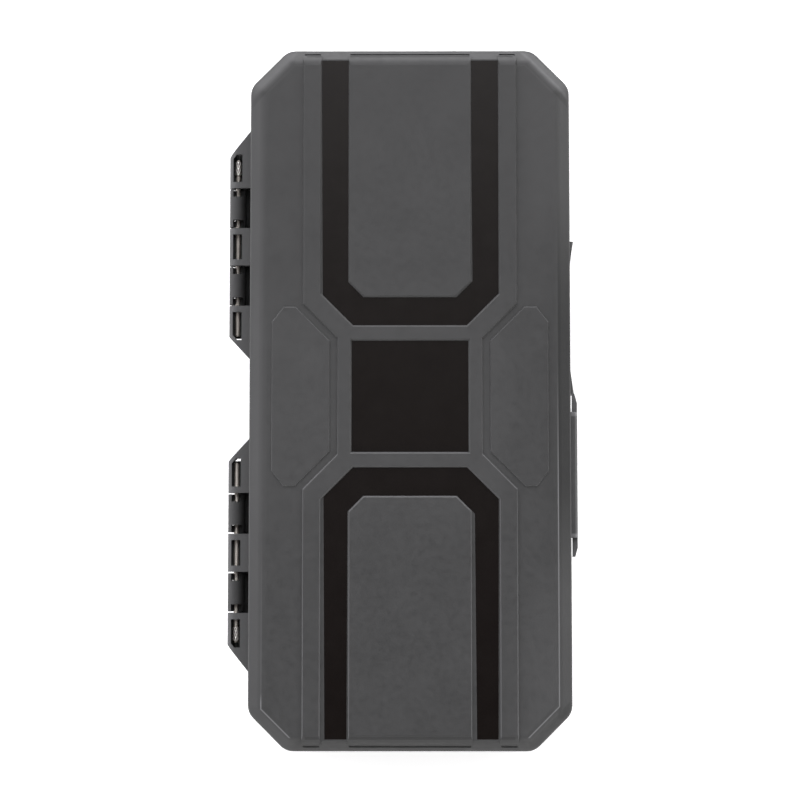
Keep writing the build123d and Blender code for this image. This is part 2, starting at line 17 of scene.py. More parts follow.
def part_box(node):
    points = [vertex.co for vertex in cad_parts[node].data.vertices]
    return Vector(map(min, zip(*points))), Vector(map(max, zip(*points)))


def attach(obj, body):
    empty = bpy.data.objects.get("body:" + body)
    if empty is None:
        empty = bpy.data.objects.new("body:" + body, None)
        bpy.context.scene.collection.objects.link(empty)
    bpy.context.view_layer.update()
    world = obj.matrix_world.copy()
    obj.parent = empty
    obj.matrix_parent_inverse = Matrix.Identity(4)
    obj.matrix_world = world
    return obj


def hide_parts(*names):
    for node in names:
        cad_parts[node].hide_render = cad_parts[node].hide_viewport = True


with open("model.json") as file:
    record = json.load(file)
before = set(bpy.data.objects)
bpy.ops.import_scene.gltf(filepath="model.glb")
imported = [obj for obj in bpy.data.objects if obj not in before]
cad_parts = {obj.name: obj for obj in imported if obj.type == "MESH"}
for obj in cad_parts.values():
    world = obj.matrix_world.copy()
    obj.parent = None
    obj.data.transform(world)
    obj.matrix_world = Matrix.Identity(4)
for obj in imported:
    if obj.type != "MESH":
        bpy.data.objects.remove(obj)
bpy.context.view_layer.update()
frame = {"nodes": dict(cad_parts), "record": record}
MM = 0.001

# %% [markdown]
# ## Places read from the frame
#
# Nothing is measured twice: the pin axis and the latch's middle are the joints' own places, and
# sizes come from the boxes of the CAD nodes. Places on the lid are written as distances in from its
# side or its end. On a slanting corner x and y add up to one length, so a place there is written as
# a distance in from the sum of both. The raised field is the lid's highest surface, and the flat
# panels beside it lie one relief lower. That relief and the wire's radius are set here, because no
# box shows them.

# %% Places
joints = {joint["name"]: joint for joint in frame["record"]["behaviour"]["joints"]}
PIN_X, _, PIN_Z = joints["lid_hinge"]["pos_m"]
LATCH_MIDDLE = joints["latch_hinge"]["pos_m"][1]

_, (CASE_SIDE, CASE_END, FIELD_TOP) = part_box("lid_shell")
CASE_CORNER = CASE_SIDE + CASE_END
RELIEF = 0.6 * MM
PANEL_TOP = FIELD_TOP - RELIEF

pin_low, pin_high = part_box("upper_hinge_pin")
HEAD_RADIUS = (pin_high[2] - pin_low[2]) / 2
WIRE_RADIUS = 0.75 * MM
print("pin axis at x", round(PIN_X / MM, 2), "and z", round(PIN_Z / MM, 2), "mm")
print("flat panels at z", round(PANEL_TOP / MM, 2), "mm")

# %% [markdown]
# ## Shader maths as plain expressions
#
# A material is a small machine of nodes. Writing it out node by node hides the idea, so a socket is
# wrapped in a class that understands + - *, and `1 - mask` adds the Math node by itself. Any other
# node comes from one method, which sets the node up first and then feeds its sockets.
#
# Two shapes are enough for every mask in this file. `rise` goes smoothly from 0 at one value to 1 at
# another, in either direction. `band` is 1 close to a value and 0 away from it.

# %% Socket maths
class Strand:
    """One socket of a node tree. Arithmetic on it adds Math nodes and gives a new Strand."""

    def __init__(self, recipe, socket):
        self.recipe = recipe
        self.socket = socket

    def math(self, operation, *values):
        """A Math node with these values on its inputs."""
        return self.recipe.node("ShaderNodeMath", {"operation": operation}, dict(enumerate(values)))

    def __add__(self, other):
        return self.math("ADD", self, other)

    __radd__ = __add__

    def __sub__(self, other):
        return self.math("SUBTRACT", self, other)

    def __rsub__(self, other):
        return self.math("SUBTRACT", other, self)

    def __mul__(self, other):
        return self.math("MULTIPLY", self, other)

    __rmul__ = __mul__

    def __neg__(self):
        return self * -1

    def __abs__(self):
        return self.math("ABSOLUTE", self)

    def root(self):
        return self.math("SQRT", self)

    def least(self, other):
        return self.math("MINIMUM", self, other)

    def most(self, other):
        return self.math("MAXIMUM", self, other)

    def rise(self, start, end):
        """0 up to start and 1 from end on, with a smooth step between. End may be below start."""
        return self.recipe.node(
            "ShaderNodeMapRange",
            {"interpolation_type": "SMOOTHSTEP"},
            {"Value": self, "From Min": start, "From Max": end},
        )

    def band(self, middle, core, reach):
        """1 within core of the middle, going smoothly to 0 at reach from it."""
        return abs(self - middle).rise(reach, core)

    def to_nearest(self, pitch):
        """The distance to the nearest whole multiple of a pitch."""
        return self.math("PINGPONG", self, pitch / 2)


class Recipe:
    """A node tree being written, with one method that adds any node."""

    def __init__(self, tree):
        self.tree = tree

    def node(self, kind, settings, inputs, output=0):
        """Adds a node of that kind, sets it up, feeds its inputs and returns one output."""
        made = self.tree.nodes.new(kind)
        for setting, value in settings.items():
            setattr(made, setting, value)
        for name, value in inputs.items():
            if isinstance(value, Strand):
                self.tree.links.new(value.socket, made.inputs[name])
            else:
                made.inputs[name].default_value = value
        return Strand(self, made.outputs[output])

    def blend(self, factor, first, second):
        """A colour that goes from first to second as factor goes from 0 to 1.

        Each colour is a Strand, or red, green and blue. A Mix node has sockets for every kind of
        data: for colours, 0 is the factor, 6 and 7 are the colours, and output 2 is the result."""
        first, second = (c if isinstance(c, Strand) else (*c, 1.0) for c in (first, second))
        return self.node("ShaderNodeMix", {"data_type": "RGBA"}, {0: factor, 6: first, 7: second}, 2)

    def place(self, coordinates="Object"):
        """The shaded point, and its x, y and z. On an object they are in metres."""
        point = self.node("ShaderNodeTexCoord", {}, {}, coordinates)
        return point, [self.node("ShaderNodeSeparateXYZ", {}, {0: point}, axis) for axis in range(3)]

    def noise(self, point, size, detail=2.0, roughness=0.5):
        """Soft random values from 0 to 1 whose patches are about that many metres across."""
        settings = {"Vector": point, "Scale": 1 / size, "Detail": detail, "Roughness": roughness}
        return self.node("ShaderNodeTexNoise", {}, settings)


class Finish(Recipe):
    """A material on one Principled shader, whose steady values are set on its own sockets."""

    def __init__(self, name, **steady):
        self.material = bpy.data.materials.new(name)
        self.material.use_nodes = True
        super().__init__(self.material.node_tree)
        self.shader = self.tree.nodes["Principled BSDF"]
        for socket, value in steady.items():
            self.shader.inputs[socket.replace("_", " ")].default_value = value

    def feed(self, **varying):
        """Joins values that change over the surface to the shader."""
        for socket, strand in varying.items():
            self.tree.links.new(strand.socket, self.shader.inputs[socket.replace("_", " ")])

    def bump(self, height, depth):
        """Feeds a height from 0 to 1 to the normal, as relief of that many metres."""
        bumped = self.node("ShaderNodeBump", {}, {"Strength": 1.0, "Distance": depth, "Height": height})
        self.feed(Normal=bumped)

    def done(self):
        """The finished material, after saying how large its tree has grown."""
        print(self.material.name, "is written with", len(self.tree.nodes), "nodes")
        return self.material


# %% [markdown]
# ## Grey moulded plastic
#
# The mould is spark eroded, which leaves a fine matt grain on the plastic. A real moulding is never
# one flat tone: the grain catches light unevenly, and there are slow changes where the plastic
# flowed. One noise can't be fine and slow at once, so three sizes are nested. The grain goes into
# the bump and the roughness, and the cloudy and the slow one go into the colour.
#
# Lid, base, clip and rails are all this plastic. It is a class of its own, so that each of them
# starts from the same grain and then tints it by place.

# %% Grey plastic
GRAIN_SIZE = 0.22 * MM
CLOUD_SIZE = 1.9 * MM
FLOW_SIZE = 14 * MM
GRAIN_DEPTH = 0.012 * MM
FLOW_SHARE, CLOUD_SHARE = 0.9, 1.5
DARKER, LIGHTER = 0.8, 1.2
LEAST_ROUGHNESS, GRAIN_ROUGHNESS, CLOUD_ROUGHNESS = 0.37, 0.1, 0.36
CASE_TONE = (0.0275, 0.0275, 0.0278)
LEVEL_TO_SLOPING = (0.97, 0.75)
SEAM = (PIN_Z, 0.10 * MM, 0.22 * MM)
SEAM_DARKNESS = 0.9


def scaled(tone, factor):
    """A tone made darker or lighter by a factor."""
    return tuple(channel * factor for channel in tone)


class Plastic(Finish):
    """Moulded plastic, with the colour, roughness and grain that a finish may still change."""

    def __init__(self, name, tone):
        super().__init__(name, Specular_IOR_Level=0.5, IOR=1.49)
        self.point, (self.x, self.y, self.z) = self.place()
        self.grain = self.noise(self.point, GRAIN_SIZE, 3.0, 0.6)
        flow = self.noise(self.point, FLOW_SIZE, 2.0)
        cloud = self.noise(self.point, CLOUD_SIZE, 3.0, 0.65)
        shade = 0.5 + FLOW_SHARE * (flow - 0.5) + CLOUD_SHARE * (cloud - 0.5)
        self.colour = self.blend(shade, scaled(tone, DARKER), scaled(tone, LIGHTER))
        self.roughness = LEAST_ROUGHNESS + GRAIN_ROUGHNESS * self.grain + CLOUD_ROUGHNESS * cloud

    def tint(self, mask, tone):
        """Takes the colour to another tone where the mask is 1."""
        self.colour = self.blend(mask, self.colour, tone)

    def sloping(self):
        """1 on slopes and walls and 0 on level ground, from the surface's direction on the object."""
        normal = self.node("ShaderNodeTexCoord", {}, {}, "Normal")
        up = self.node("ShaderNodeSeparateXYZ", {}, {0: normal}, 2)
        return abs(up).rise(*LEVEL_TO_SLOPING)

    def parting_line(self):
        """1 on the walls where lid and base meet, level with the pins: a seam that holds dust."""
        return self.sloping() * self.z.band(*SEAM)


# Each finish is kept under the last word of the names of the CAD nodes that wear it.
finishes = {}

# %% [markdown]
# ## The lid: gloss black inlays in matt grey
#
# The floor of the two U-shaped channels and of the square badge is gloss black. A separate inlay
# would be thinner than a hair at this size, so the lid's one material changes from matt to gloss
# inside outlines written as distances: a point is inside a shape when its distance to every side is
# positive, so the least of those distances is a soft-edged mask.

# %% Outlines of the inlays
INLAY_HALF_X = 26.7 * MM
INLAY_NEAR_Y = 21.4 * MM
INLAY_CORNER = 9.6 * MM
INLAY_END_Y = CASE_END - 3.8 * MM
PLATEAU_HALF_X = 18.6 * MM
PLATEAU_NEAR_Y = 29.9 * MM
PLATEAU_CORNER = 4.6 * MM
BADGE_HALF_X = 17.55 * MM
BADGE_HALF_Y = 16.75 * MM
OUTLINE_SOFTNESS = 0.06 * MM

# Each side of the two long strips: its x at the middle of the case, and its drift along y.
LEFT_STRIP_OUTER = (-26.1 * MM, -0.0063)
LEFT_STRIP_INNER = (-18.62 * MM, 0.0028)
RIGHT_STRIP_INNER = (19.12 * MM, -0.0076)
RIGHT_STRIP_OUTER = (26.68 * MM, 0.0040)

# The floors are level with the panels. The sides above them stay grey, and so does the inside below.
FLOOR_UPPER_Z = (PANEL_TOP + 0.06 * MM, PANEL_TOP + 0.03 * MM)
FLOOR_LOWER_Z = (PANEL_TOP - 0.70 * MM, PANEL_TOP - 0.67 * MM)
SQRT_HALF = math.sqrt(0.5)


def inlay_mask(x, y, z):
    """1 on the gloss floors and 0 elsewhere, as the least distance to the sides of each outline."""
    aside, along = abs(x), abs(y)

    def past(strip_side):
        """How far x lies past one side of a strip."""
        middle, drift = strip_side
        return x - (middle + drift * y)

    def inside_corner(half_x, near_y, corner):
        """How far the point lies inside a slanting corner that cuts that much off."""
        return SQRT_HALF * (along - aside) + SQRT_HALF * (half_x - near_y - corner)

    outer = past(LEFT_STRIP_OUTER).least(-past(RIGHT_STRIP_OUTER))
    outer = outer.least(inside_corner(INLAY_HALF_X, INLAY_NEAR_Y, INLAY_CORNER))
    outer = outer.least(along - INLAY_NEAR_Y).least(INLAY_END_Y - along)
    plateau = past(LEFT_STRIP_INNER).least(-past(RIGHT_STRIP_INNER))
    plateau = plateau.least(inside_corner(PLATEAU_HALF_X, PLATEAU_NEAR_Y, PLATEAU_CORNER))
    plateau = plateau.least(along - PLATEAU_NEAR_Y)
    channel = outer.least(-plateau)
    badge = (BADGE_HALF_X - aside).least(BADGE_HALF_Y - along)
    shape = channel.most(badge).rise(-OUTLINE_SOFTNESS, OUTLINE_SOFTNESS)
    return shape * z.rise(*FLOOR_UPPER_Z) * z.rise(*FLOOR_LOWER_Z)


print("gloss channels run from y", round(INLAY_NEAR_Y / MM, 1), "to", round(INLAY_END_Y / MM, 1), "mm")

# %% [markdown]
# ## Painted light and shade over the lid
#
# The lid is painted paler round its waist and on the right at both ends: painted light. On the right
# the long bevel turns away from the light, and painted shade makes it darkest halfway along. Both
# could be painted on an image, but an image has one size and needs the surface unrolled. A product of
# two or three soft ramps says the same in a line, and it holds at any distance.

# %% Pale patches and the shaded bevel
PALE_PAINTED_LIGHT_TONE = (0.0705, 0.0705, 0.0712)
PALE_ALL_OVER, PALE_WAIST, PALE_NEAR, PALE_FAR = 0.03, 0.12, 0.26, 0.14
WAIST_X = (33 * MM, 24 * MM)
WAIST_Y = (-3 * MM, 18 * MM, 46 * MM)
NEAR_PATCH_X, NEAR_PATCH_Y = (24 * MM, 42 * MM), (-40 * MM, -84 * MM)
FAR_PATCH_X, FAR_PATCH_Y = (29 * MM, 40 * MM), (42 * MM, 66 * MM)
PANEL_EDGE = (CASE_SIDE - 4.0 * MM, CASE_SIDE - 5.0 * MM)

BEVEL_FOOT = PANEL_TOP - 2.8 * MM
PANEL_SHADE, PANEL_SHADE_X = 0.16, (CASE_SIDE - 10 * MM, CASE_SIDE - 5.5 * MM)
BEVEL_SHADE, BEVEL_SHADE_X = 0.84, (CASE_SIDE - 4.2 * MM, CASE_SIDE - 3.7 * MM)
SHADE_NEAR_END, SHADE_FAR_END = (-62 * MM, -22 * MM), (74 * MM, 19 * MM)
SHADE_FOOT = (BEVEL_FOOT - 0.4 * MM, BEVEL_FOOT + 0.4 * MM)


def pale_patches_painted_light(x, y):
    """How far the painted light takes the plastic to its paler tone: the waist, and the right side at
    both ends.
    """
    waist = x.rise(*WAIST_X) * y.band(*WAIST_Y)
    near = x.rise(*NEAR_PATCH_X) * y.rise(*NEAR_PATCH_Y)
    far = x.rise(*FAR_PATCH_X) * y.rise(*FAR_PATCH_Y)
    patches = (PALE_NEAR * near + PALE_FAR * far) * x.rise(*PANEL_EDGE)
    return PALE_ALL_OVER + PALE_WAIST * waist + patches


def bevel_shade(x, y, z):
    """How dark the painted shade on the long right bevel is, with a little of it on the panel beside the
    bevel.
    """
    across = PANEL_SHADE * x.rise(*PANEL_SHADE_X) + BEVEL_SHADE * x.rise(*BEVEL_SHADE_X)
    return across * z.rise(*SHADE_FOOT) * y.rise(*SHADE_NEAR_END) * y.rise(*SHADE_FAR_END)


print("the lid's bevels start at z", round(BEVEL_FOOT / MM, 2), "mm")

# %% [markdown]
# ## Grooves and bevels at the lid's ends
#
# Fine grooves run across each end of the lid, and the bevels turn there towards other parts of the
# surroundings than the field does. The grooves and bevels themselves are cut in the CAD solid. Added
# here are painted shade beside the grooves and on the end bevels, and a painted highlight along the
# bevel's inner edge, mostly on the right, which no solid has. Each is a thin band round a distance:
# to a straight line, or to an outline of a line and its slanting corners.

# %% Grooves and bevels
FAR_GROOVE = (CASE_END - 2.38 * MM, 0.12 * MM, 0.4 * MM)
NEAR_EDGE, NEAR_EDGE_SHARE = (4.1 * MM - CASE_END, 0.3 * MM, 0.6 * MM), 0.5
MIDDLE_GROOVE_END = (18.3 * MM, 18.0 * MM)
SIDE_GROOVE = (29.0 * MM, 2.1 * MM, 2.4 * MM)

BEVEL_EDGE_X = CASE_SIDE - 4.1 * MM
BEVEL_EDGE_CORNER = CASE_CORNER - 17.2 * MM
CORNER_DRIFT = 0.009
HIGHLIGHT_LINE = (0, 0.1 * MM, 0.28 * MM)
HIGHLIGHT_ENDS = (CASE_END - 4.0 * MM, CASE_END - 4.4 * MM)
RIGHT_HALF, LEFT_HALF = (0, 5 * MM), (0, -5 * MM)
RIGHT_HIGHLIGHT, RIGHT_HIGHLIGHT_Y = 0.33, (14 * MM, -34 * MM)
LEFT_HIGHLIGHT, LEFT_HIGHLIGHT_Y = 0.06, (-30 * MM, -75 * MM)
CORNER_HIGHLIGHT, NEAR_CORNER_Y = 0.26, (-88 * MM, -92 * MM)

FAR_EDGE_Y = CASE_END - 4.4 * MM
FAR_EDGE_CORNER = CASE_CORNER - 17.5 * MM
FAR_END_Y = (70 * MM, 90 * MM)
FAR_DARK, FAR_DARK_LINE = 0.42, (0, 0.35 * MM, 1.0 * MM)
SLANT_PALE, SLANT_LINE = 0.07, (CASE_CORNER - 15.3 * MM, 0.2 * MM, 1.1 * MM)
FAR_PALE, FAR_PALE_OUT = 0.05, (CASE_CORNER - 16.3 * MM, CASE_CORNER - 14.7 * MM)
FAR_PALE_X = (30 * MM, 34 * MM)

NEAR_DARK, NEAR_DARK_X = 0.45, (-38 * MM, -33 * MM)
NEAR_END_Y = (3.6 * MM - CASE_END, 2.9 * MM - CASE_END)
NEAR_CORNER_OUT = (CASE_CORNER - 16.1 * MM, CASE_CORNER - 15.2 * MM)


def groove_side_painted_shade(x, y):
    """Painted shade: 1 beside the fine groove across the far end, and less along the field's edge at the
    near end.
    """
    across = y.band(*FAR_GROOVE) + NEAR_EDGE_SHARE * y.band(*NEAR_EDGE)
    return across * abs(x).rise(*MIDDLE_GROOVE_END).most(abs(x).band(*SIDE_GROOVE))


def bevel_edge_painted_highlight(x, y):
    """How strong the painted highlight on the bevel's inner edge is: most on the right, and on the left
    near its corner.

    The edge is the least distance to the two long sides and to the four slanting corners, and a
    point is on the line where that distance passes through zero."""
    side = BEVEL_EDGE_X - abs(x)
    corner = SQRT_HALF * (BEVEL_EDGE_CORNER - abs(x) - abs(y) - CORNER_DRIFT * x)
    line = side.least(corner).band(*HIGHLIGHT_LINE) * abs(y).rise(*HIGHLIGHT_ENDS)
    right = RIGHT_HIGHLIGHT * x.rise(*RIGHT_HALF) * y.rise(*RIGHT_HIGHLIGHT_Y)
    left = LEFT_HIGHLIGHT * y.rise(*LEFT_HIGHLIGHT_Y) + CORNER_HIGHLIGHT * y.rise(*NEAR_CORNER_Y)
    return line * (right + left * x.rise(*LEFT_HALF))


def far_bevel_shade_and_highlight(x, y):
    """Painted shade and painted highlight of the far end's bevel: dark along its inner edge, pale further
    out.
    """
    inside = (FAR_EDGE_Y - y).least(SQRT_HALF * (FAR_EDGE_CORNER - abs(x) - y))
    outwards = abs(x) + y
    slant = SLANT_PALE * x.rise(*RIGHT_HALF) * outwards.band(*SLANT_LINE)
    pale = FAR_PALE * outwards.rise(*FAR_PALE_OUT) * abs(x).rise(*FAR_PALE_X)
    far_end = y.rise(*FAR_END_Y)
    return FAR_DARK * far_end * inside.band(*FAR_DARK_LINE), far_end * (pale + slant)


def near_bevel_painted_shade(x, y):
    """How dark the painted shade on the near end's bevel is, along the end and round its right corner."""
    corner = (x - y).rise(*NEAR_CORNER_OUT) * y.rise(*NEAR_CORNER_Y)
    return NEAR_DARK * y.rise(*NEAR_END_Y).most(corner) * x.rise(*NEAR_DARK_X)


print("the groove across the far end lies at y", round(FAR_GROOVE[0] / MM, 2), "mm")

# %% [markdown]
# ## The lid's finish put together
#
# The masks now tint the plastic one after another: the painted light of the pale patches and the
# hinge arms, then the painted shade and the dark seam, and last the painted highlights. Dark plastic
# still mirrors the white surroundings, so a darker colour alone hardly shows. Where the bevel and the
# grooves carry painted shade, a little Metallic takes that sheen away too, because a metal mirrors in
# its own colour only. The gloss black goes over all of it, without grain.

# %% The lid's finish
ARM_PAINTED_LIGHT_TONE = (0.066, 0.066, 0.067)
SHADE_AND_SEAM_TONE = (0.003, 0.003, 0.003)
PALE_HIGHLIGHT_TONE = (0.3, 0.3, 0.31)
DEEP_BLACK, HAZY_BLACK = (0.0048, 0.0034, 0.0031), (0.0066, 0.0048, 0.0043)
HAZE_SIZE = 5 * MM
GLOSS_ROUGHNESS, HAZE_ROUGHNESS = 0.13, 0.1
TOP_Z = (BEVEL_FOOT, BEVEL_FOOT + 1 * MM)
ARM_X = (-CASE_SIDE - 0.2 * MM, -CASE_SIDE - 0.7 * MM)
WINDOW_X, WINDOW_Z = (PIN_X, 1.25 * MM, 1.55 * MM), (PIN_Z + 1.5 * MM, PIN_Z + 0.3 * MM)
GROOVE_DIMNESS, DIM_DARKNESS, DIM_METAL = 0.9, 0.56, 0.35
RIM_HIGHLIGHT, RIM_Z = 0.17, (PANEL_TOP + 0.12 * MM, PANEL_TOP + 0.35 * MM)
RIM_HIGHLIGHT_Y, RIM_HIGHLIGHT_ENDS = (35 * MM, -70 * MM), (CASE_END - 3.7 * MM, CASE_END - 4.1 * MM)
HIGHLIGHT_LINE_Z = (BEVEL_FOOT + 0.4 * MM, BEVEL_FOOT + 0.8 * MM)


def lid_finish():
    """The case's plastic with its painted light, painted shade and painted highlights, a dark seam, and
    gloss black on the inlays.
    """
    finish = Plastic("lid_matt_and_gloss", CASE_TONE)
    x, y, z = finish.x, finish.y, finish.z
    on_top = z.rise(*TOP_Z)
    # Painted light: paler patches round the waist and on the right at both ends.
    finish.tint(pale_patches_painted_light(x, y) * on_top, PALE_PAINTED_LIGHT_TONE)
    # Painted light: the hinge arms are tinted paler, against the shade of the lid's wall.
    finish.tint(x.rise(*ARM_X), ARM_PAINTED_LIGHT_TONE)

    # Painted shade on the long right bevel and beside the grooves at both ends.
    dim = bevel_shade(x, y, z) + GROOVE_DIMNESS * groove_side_painted_shade(x, y) * on_top
    # Painted shade deep in the hinge windows, beside and below the pin.
    window_painted_shade = x.band(*WINDOW_X) * z.rise(*WINDOW_Z)
    # Painted shade and painted highlight on the far bevel, and painted shade on the near bevel.
    far_painted_shade, far_painted_highlight = far_bevel_shade_and_highlight(x, y)
    ends_dark = (far_painted_shade + near_bevel_painted_shade(x, y)) * on_top
    # Painted shade, together with the real dark seam at the parting line.
    dark = window_painted_shade + DIM_DARKNESS * dim + ends_dark + SEAM_DARKNESS * finish.parting_line()
    finish.tint(dark.least(1.0), SHADE_AND_SEAM_TONE)

    # Painted highlights: light lines on the relief's sloping rims, on the bevel's inner edge, and out on
    # the far bevel.
    rim_painted_highlight = finish.sloping() * z.rise(*RIM_Z) * y.rise(*RIM_HIGHLIGHT_Y) * abs(y).rise(*RIM_HIGHLIGHT_ENDS)
    edge_painted_highlight = bevel_edge_painted_highlight(x, y) * z.rise(*HIGHLIGHT_LINE_Z)
    finish.tint(RIM_HIGHLIGHT * rim_painted_highlight + edge_painted_highlight + far_painted_highlight * on_top, PALE_HIGHLIGHT_TONE)

    gloss = inlay_mask(x, y, z)
    haze = finish.noise(finish.point, HAZE_SIZE, 4.0, 0.6)
    black = finish.blend(haze, DEEP_BLACK, HAZY_BLACK)
    finish.feed(
        Base_Color=finish.blend(gloss, finish.colour, black),
        Roughness=finish.roughness * (1 - gloss) + (GLOSS_ROUGHNESS + HAZE_ROUGHNESS * haze) * gloss,
        Metallic=DIM_METAL * dim * (1 - edge_painted_highlight).most(0),
    )
    finish.bump(finish.grain * (1 - gloss), GRAIN_DEPTH)
    return finish.done()


lid_material = lid_finish()

# %% [markdown]
# ## The base's finish
#
# From above, the base shows by its hinge knuckles, which stand out into the light: painted light
# makes them paler than the walls and a little less glossy. Behind them, between the barrel and the
# wall, painted shade makes the gap nearly black and dull. It is a mask in distances from the pin and
# the wall, and it ends just below the parting plane, so that the wall under the hinge keeps its tone.

# %% The base's finish
KNUCKLE_PAINTED_LIGHT_TONE = (0.034, 0.034, 0.0345)
GAP_SHADE_AND_SEAM_TONE = (0.002, 0.002, 0.002)
KNUCKLE_X, KNUCKLE_METAL = (-CASE_SIDE - 0.5 * MM, -CASE_SIDE - 0.9 * MM), 0.12
GAP_FROM_BARREL, GAP_TO_WALL = (PIN_X + 0.4 * MM, PIN_X + 3.0 * MM), (0.3 * MM - CASE_SIDE, -CASE_SIDE)
GAP_FOOT = (PIN_Z - 0.4 * MM, PIN_Z - 0.25 * MM)
GAP_SHADE_ROUGHNESS = 0.3


def base_finish():
    """The case's plastic, with painted light on the knuckles and painted shade deep between them and the
    wall.
    """
    finish = Plastic("base_matt_grey", CASE_TONE)
    x, z = finish.x, finish.z
    # Painted light: the knuckles are tinted paler than the walls.
    knuckle = x.rise(*KNUCKLE_X)
    finish.tint(knuckle, KNUCKLE_PAINTED_LIGHT_TONE)
    # Painted shade in the gap behind the knuckles, joined by the real dark seam.
    gap_shade = x.rise(*GAP_FROM_BARREL) * x.rise(*GAP_TO_WALL) * z.rise(*GAP_FOOT)
    finish.tint(gap_shade.most(SEAM_DARKNESS * finish.parting_line()), GAP_SHADE_AND_SEAM_TONE)
    finish.feed(
        Base_Color=finish.colour,
        Roughness=finish.roughness + GAP_SHADE_ROUGHNESS * gap_shade,
        Metallic=KNUCKLE_METAL * knuckle * (1 - gap_shade),
    )
    finish.bump(finish.grain, GRAIN_DEPTH)
    return finish.done()


finishes["shell"] = base_finish()

# %% [markdown]
# ## The clip's finish
#
# The clip is the piece that is touched most. Its plastic is paler and smoother than the case's. The
# two ends of its hook and its outer edge carry painted highlights, and its tips are made paler.
# Those places are found from the latch's middle and the clip's own box, so they stay right if the
# clip is changed.

# %% The clip's finish
CLIP_TONE = (0.052, 0.052, 0.0528)
CLIP_GRAIN_DEPTH = 0.008 * MM
clip_low, clip_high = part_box("latch_clip")
CLIP_HALF = (clip_high[1] - clip_low[1]) / 2
HOOK_Z = (clip_high[2] - 1.4 * MM, clip_high[2] - 0.6 * MM)
HOOK_END_HIGHLIGHT, HOOK_END = 0.3, (CLIP_HALF - 6.45 * MM, 0.3 * MM, 0.8 * MM)
TIP_PALENESS, TIP_START = 0.16, (CLIP_HALF - 5.55 * MM, CLIP_HALF - 5.05 * MM)
EDGE_HIGHLIGHT, OUTER_EDGE_X = 0.12, (clip_high[0] - 1.5 * MM, clip_high[0] - 1.0 * MM)
POLISH = 0.08


def clip_finish():
    """The clip's satin plastic, with painted highlights on the two ends of its hook and its outer edge,
    and paler tips.
    """
    finish = Plastic("clip_satin_grey", CLIP_TONE)
    from_middle = abs(finish.y - LATCH_MIDDLE)
    hook = finish.z.rise(*HOOK_Z)
    hook_ends = from_middle.band(*HOOK_END) * hook
    outer_edge = finish.x.rise(*OUTER_EDGE_X) * hook
    # Painted highlights on the hook's two ends and its outer edge, and paler tips.
    pale_marks = HOOK_END_HIGHLIGHT * hook_ends + TIP_PALENESS * from_middle.rise(*TIP_START) + EDGE_HIGHLIGHT * outer_edge
    finish.tint(pale_marks.least(1.0), PALE_HIGHLIGHT_TONE)
    finish.feed(Base_Color=finish.colour, Roughness=finish.roughness - POLISH)
    finish.bump(finish.grain, CLIP_GRAIN_DEPTH)
    return finish.done()


finishes["clip"] = clip_finish()

# %% [markdown]
# ## Steel
#
# Pegs, screws and pins are bright steel with fine scratches along their length, from drawing the
# wire and from use. The scratches are noise that is stretched along the piece with a Mapping node.
# They feed the roughness and a very shallow bump, and a slower noise stains the colour a little.

# %% Steel finish
STREAK_SIZE, STREAK_STRETCH = 0.12 * MM, 0.04
STREAK_DEPTH, STREAK_ROUGHNESS = 0.004 * MM, 0.2
STAIN_SIZE = 2.2 * MM
STAIN_DARKNESS = 0.72
ALONG_Y, ALONG_Z = 1, 2


def scratched_steel(finish, point, tone, along):
    """Colour and streaks of bright metal whose scratches run along that axis."""
    scale = [1.0, 1.0, 1.0]
    scale[along] = STREAK_STRETCH
    stretched = finish.node("ShaderNodeMapping", {}, {"Vector": point, "Scale": scale})
    streak = finish.noise(stretched, STREAK_SIZE, 3.0, 0.6)
    stain = finish.noise(point, STAIN_SIZE, 3.0)
    return finish.blend(stain, scaled(tone, STAIN_DARKNESS), tone), streak


def steel_finish(name, tone, polish):
    """Steel of an upright piece, with the roughness that its smoothest places have."""
    finish = Finish(name, Metallic=1.0)
    point, _ = finish.place()
    colour, streak = scratched_steel(finish, point, tone, ALONG_Z)
    finish.feed(Base_Color=colour, Roughness=polish + STREAK_ROUGHNESS * streak)
    finish.bump(streak, STREAK_DEPTH)
    return finish.done()


finishes["pegs"] = steel_finish("peg_steel", (0.66, 0.65, 0.63), 0.14)
finishes["screws"] = steel_finish("zinc_steel", (0.50, 0.50, 0.50), 0.32)

# %% [markdown]
# ## The pins' steel
#
# The knurl at the end of a hinge pin is the one thing that sparkles in the case: its crests are
# rubbed bright, and old oil darkens the grooves between them. The crests could be marked on the
# mesh, but they are already the points furthest from the pin's axis, so the distance from that axis
# tells wire, groove and crest apart. The latch's pin lies far off that axis and is bright all over.

# %% Pin finish
PIN_TONE = (0.78, 0.73, 0.67)
OILY_TONE = (0.30, 0.27, 0.24)
BRIGHT_TONE = (0.97, 0.94, 0.90)
BEYOND_WIRE = (WIRE_RADIUS + 0.03 * MM, WIRE_RADIUS + 0.06 * MM)
CREST_RADIUS = (HEAD_RADIUS - 0.19 * MM, HEAD_RADIUS - 0.08 * MM)
WIRE_ROUGHNESS, CREST_POLISH = 0.44, 0.16


def pin_finish():
    """Drawn steel whose knurl is bright on its crests and dark with old oil in its grooves."""
    finish = Finish("drawn_steel", Metallic=1.0)
    point, (x, _, z) = finish.place()
    steel, streak = scratched_steel(finish, point, PIN_TONE, ALONG_Y)
    aside, above = x - PIN_X, z - PIN_Z
    radius = (aside * aside + above * above).root()
    knurled, crest = radius.rise(*BEYOND_WIRE), radius.rise(*CREST_RADIUS)
    steel = finish.blend(knurled * (1 - crest), steel, OILY_TONE)
    steel = finish.blend(knurled * crest, steel, BRIGHT_TONE)
    roughness = WIRE_ROUGHNESS + STREAK_ROUGHNESS * streak - CREST_POLISH * knurled * crest
    finish.feed(Base_Color=steel, Roughness=roughness)
    finish.bump(streak, STREAK_DEPTH)
    return finish.done()


